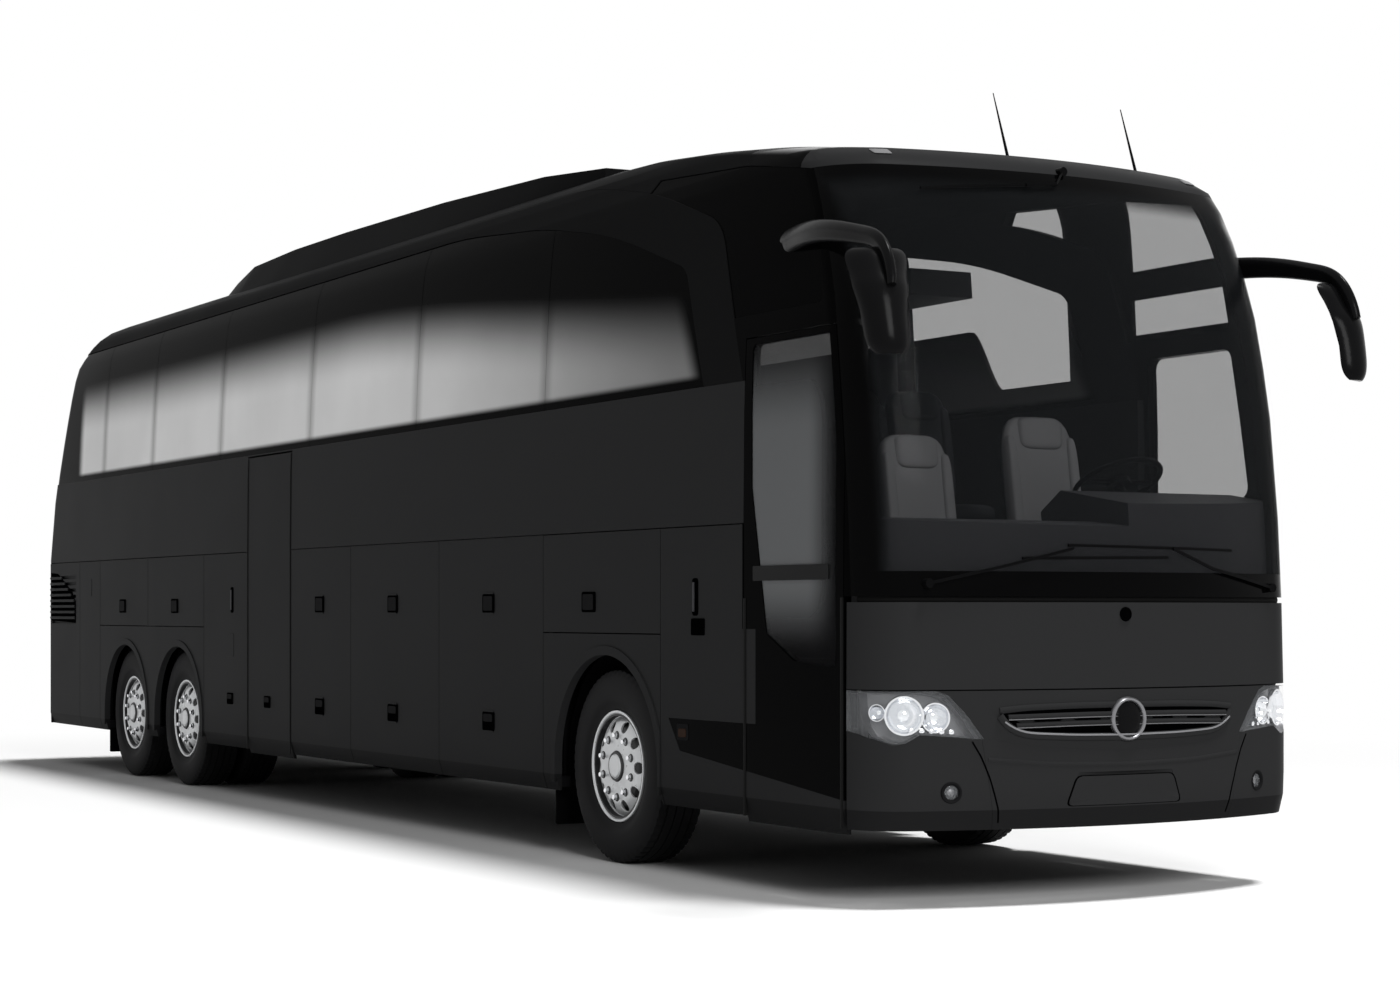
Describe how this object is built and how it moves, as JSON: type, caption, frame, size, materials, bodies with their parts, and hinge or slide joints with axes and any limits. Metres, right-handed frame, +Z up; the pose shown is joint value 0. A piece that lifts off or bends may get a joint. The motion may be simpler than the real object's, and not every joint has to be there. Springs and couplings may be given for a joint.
{
  "type": "touring coach",
  "caption": "Long-distance touring coach with flat dark sides, arched window band, bowed windscreen, roof fairing, hinged doors and luggage flaps",
  "frame": {"origin": "on the ground, in the middle of the overall width and length", "axes": "+Z up, the front faces -Y, the passenger doors are on -X"},
  "size_m": [2.9484, 14.1245, 4.0098],
  "materials": {
    "body_paint": "satin charcoal paint",
    "frame_steel": "black chassis paint",
    "trim_black": "grained black plastic",
    "trim_grey": "soft grey interior plastic",
    "floor": "dark vinyl flooring",
    "side_glass": "dark tinted glass",
    "screen_glass": "tinted laminated glass",
    "lamp_clear": "clear moulded lens",
    "lamp_red": "moulded red lens",
    "tyre": "black rubber",
    "wheel_alloy": "polished forged alloy",
    "seat_fabric": "woven dark upholstery",
    "engine_iron": "painted casting"
  },
  "bodies": {
    "coach_body": {"aerials": "trim_black", "axles": "frame_steel", "belt_walls": "body_paint", "bumper_centre": "body_paint", "bumper_corners": "body_paint", "cab_floor": "floor", "cove_panels": "body_paint", "dashboard": "trim_grey", "engine": "engine_iron", "floors": "floor", "front_lamps": "lamp_clear", "grille_panel": "body_paint", "luggage_racks": "trim_grey", "mirrors": "trim_black", "rear_bumper": "body_paint", "rear_glass": "side_glass", "rear_wall": "body_paint", "roof": "body_paint", "roof_fairing": "body_paint", "screen_surround": "body_paint", "seats": "seat_fabric", "side_frames": "frame_steel", "side_glass": "side_glass", "side_skins": "body_paint", "steering_wheel": "trim_black", "tail_lamps": "lamp_red", "underframe": "frame_steel", "wheel_arches": "trim_black", "windscreen": "screen_glass", "wipers": "trim_black"},
    "knuckle_right": {"knuckle_right": "frame_steel"},
    "wheel_front_right": {"front_tyre_right": "tyre", "front_rim_right": "wheel_alloy"},
    "wheel_drive_right": {"drive_tyres_right": "tyre", "drive_rims_right": "wheel_alloy"},
    "wheel_tag_right": {"tag_tyre_right": "tyre", "tag_rim_right": "wheel_alloy"},
    "knuckle_left": {"knuckle_left": "frame_steel"},
    "wheel_front_left": {"front_tyre_left": "tyre", "front_rim_left": "wheel_alloy"},
    "wheel_drive_left": {"drive_tyres_left": "tyre", "drive_rims_left": "wheel_alloy"},
    "wheel_tag_left": {"tag_tyre_left": "tyre", "tag_rim_left": "wheel_alloy"},
    "front_door_arm": {"front_door_arm": "frame_steel"},
    "front_door_leaf": {"front_door": "body_paint", "front_door_glass": "side_glass"},
    "middle_door_arm": {"middle_door_arm": "frame_steel"},
    "middle_door_leaf": {"middle_door": "body_paint"},
    "flap_right_1": {"flap_right_1": "body_paint"},
    "flap_right_2": {"flap_right_2": "body_paint"},
    "flap_right_3": {"flap_right_3": "body_paint"},
    "flap_left_1": {"flap_left_1": "body_paint"},
    "flap_left_2": {"flap_left_2": "body_paint"},
    "flap_left_3": {"flap_left_3": "body_paint"},
    "engine_lid": {"engine_lid": "body_paint"},
    "front_flap_links": {"front_flap_links": "frame_steel"},
    "front_flap": {"front_flap": "body_paint"}
  },
  "joints": [
    {"name": "steer_right", "type": "hinge", "parent": "coach_body", "child": "knuckle_right", "pos_m": [-0.93, -4.1097, 0.522], "axis": [0, 0, 1], "range_deg": [-42, 42]},
    {"name": "front_wheel_right_spin", "type": "hinge", "parent": "knuckle_right", "child": "wheel_front_right", "pos_m": [-1.075, -4.1097, 0.522], "axis": [1, 0, 0], "continuous": true},
    {"name": "drive_wheel_right_spin", "type": "hinge", "parent": "coach_body", "child": "wheel_drive_right", "pos_m": [-1.075, 3.1403, 0.522], "axis": [1, 0, 0], "continuous": true},
    {"name": "tag_wheel_right_spin", "type": "hinge", "parent": "coach_body", "child": "wheel_tag_right", "pos_m": [-1.075, 4.4903, 0.522], "axis": [1, 0, 0], "continuous": true},
    {"name": "steer_left", "type": "hinge", "parent": "coach_body", "child": "knuckle_left", "pos_m": [0.93, -4.1097, 0.522], "axis": [0, 0, 1], "range_deg": [-42, 42]},
    {"name": "front_wheel_left_spin", "type": "hinge", "parent": "knuckle_left", "child": "wheel_front_left", "pos_m": [1.075, -4.1097, 0.522], "axis": [1, 0, 0], "continuous": true},
    {"name": "drive_wheel_left_spin", "type": "hinge", "parent": "coach_body", "child": "wheel_drive_left", "pos_m": [1.075, 3.1403, 0.522], "axis": [1, 0, 0], "continuous": true},
    {"name": "tag_wheel_left_spin", "type": "hinge", "parent": "coach_body", "child": "wheel_tag_left", "pos_m": [1.075, 4.4903, 0.522], "axis": [1, 0, 0], "continuous": true},
    {"name": "front_door_swing", "type": "hinge", "parent": "coach_body", "child": "front_door_arm", "pos_m": [-1.11, -6.39487, 1.2], "axis": [0, 0, 1], "range_deg": [0, 125]},
    {"name": "front_door_turn", "type": "hinge", "parent": "front_door_arm", "child": "front_door_leaf", "pos_m": [-1.11, -5.94487, 1.2], "axis": [0, 0, 1], "range_deg": [-125, 0]},
    {"name": "middle_door_swing", "type": "hinge", "parent": "coach_body", "child": "middle_door_arm", "pos_m": [-1.11, 1.45538, 1.2], "axis": [0, 0, -1], "range_deg": [0, 150]},
    {"name": "middle_door_turn", "type": "hinge", "parent": "middle_door_arm", "child": "middle_door_leaf", "pos_m": [-1.11, 1.00537, 1.2], "axis": [0, 0, -1], "range_deg": [-150, 0]},
    {"name": "flap_right_1_lift", "type": "hinge", "parent": "coach_body", "child": "flap_right_1", "pos_m": [-1.275, -2.6249, 1.782], "axis": [0, 1, 0], "range_deg": [0, 95]},
    {"name": "flap_right_2_lift", "type": "hinge", "parent": "coach_body", "child": "flap_right_2", "pos_m": [-1.275, -1.17997, 1.782], "axis": [0, 1, 0], "range_deg": [0, 95]},
    {"name": "flap_right_3_lift", "type": "hinge", "parent": "coach_body", "child": "flap_right_3", "pos_m": [-1.275, 0.0953, 1.782], "axis": [0, 1, 0], "range_deg": [0, 95]},
    {"name": "flap_left_1_lift", "type": "hinge", "parent": "coach_body", "child": "flap_left_1", "pos_m": [1.275, -2.6249, 1.782], "axis": [0, -1, 0], "range_deg": [0, 95]},
    {"name": "flap_left_2_lift", "type": "hinge", "parent": "coach_body", "child": "flap_left_2", "pos_m": [1.275, -1.17997, 1.782], "axis": [0, -1, 0], "range_deg": [0, 95]},
    {"name": "flap_left_3_lift", "type": "hinge", "parent": "coach_body", "child": "flap_left_3", "pos_m": [1.275, 0.0953, 1.782], "axis": [0, -1, 0], "range_deg": [0, 95]},
    {"name": "engine_lid_lift", "type": "hinge", "parent": "coach_body", "child": "engine_lid", "pos_m": [0, 7.0493, 1.807], "axis": [1, 0, 0], "range_deg": [0, 80]},
    {"name": "front_flap_swing", "type": "hinge", "parent": "coach_body", "child": "front_flap_links", "pos_m": [0, -6.7997, 1.335], "axis": [-1, 0, 0], "range_deg": [0, 80]},
    {"name": "front_flap_turn", "type": "hinge", "parent": "front_flap_links", "child": "front_flap", "pos_m": [0, -6.7997, 1.045], "axis": [-1, 0, 0], "range_deg": [-80, 0]}
  ],
  "couplings": [
    {"joint": "steer_left", "follows": "steer_right", "ratio": 1},
    {"joint": "front_door_turn", "follows": "front_door_swing", "ratio": -1},
    {"joint": "middle_door_turn", "follows": "middle_door_swing", "ratio": -1},
    {"joint": "front_flap_turn", "follows": "front_flap_swing", "ratio": -1}
  ]
}
